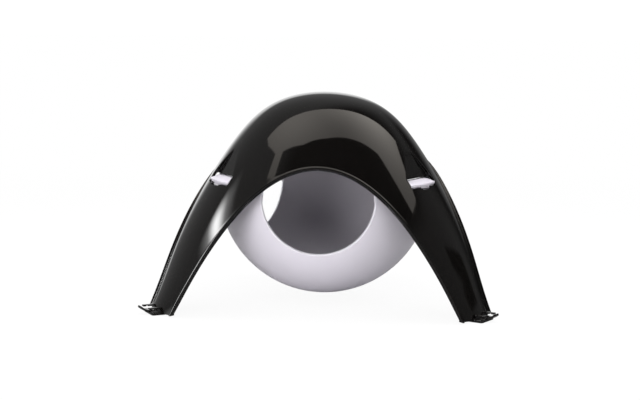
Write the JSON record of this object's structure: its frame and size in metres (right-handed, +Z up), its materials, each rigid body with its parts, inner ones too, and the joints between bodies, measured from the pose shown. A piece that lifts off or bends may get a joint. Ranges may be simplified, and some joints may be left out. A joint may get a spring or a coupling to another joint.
{
  "type": "rodent hideout",
  "caption": "Pet hideout: a glossy dome roof on splayed legs with arched openings, and a round bowl with doorways that hangs inside it by snap tabs",
  "frame": {"origin": "on the floor, under the crown of the dome", "axes": "+Z up through the crown, +Y towards the rear leg, -Y towards the front arch"},
  "size_m": [0.2804, 0.2527, 0.1696],
  "materials": {
    "roof_plastic": "gloss",
    "bowl_plastic": "satin"
  },
  "bodies": {
    "bowl": {"bowl": "bowl_plastic", "snap_tabs": "bowl_plastic"},
    "roof": {"roof": "roof_plastic"}
  },
  "joints": [
    {"name": "roof_lift", "type": "slide", "parent": "bowl", "child": "roof", "axis": [0, 0, 1], "range_m": [0, 0.11], "deforming": ["snap_tabs"]}
  ]
}
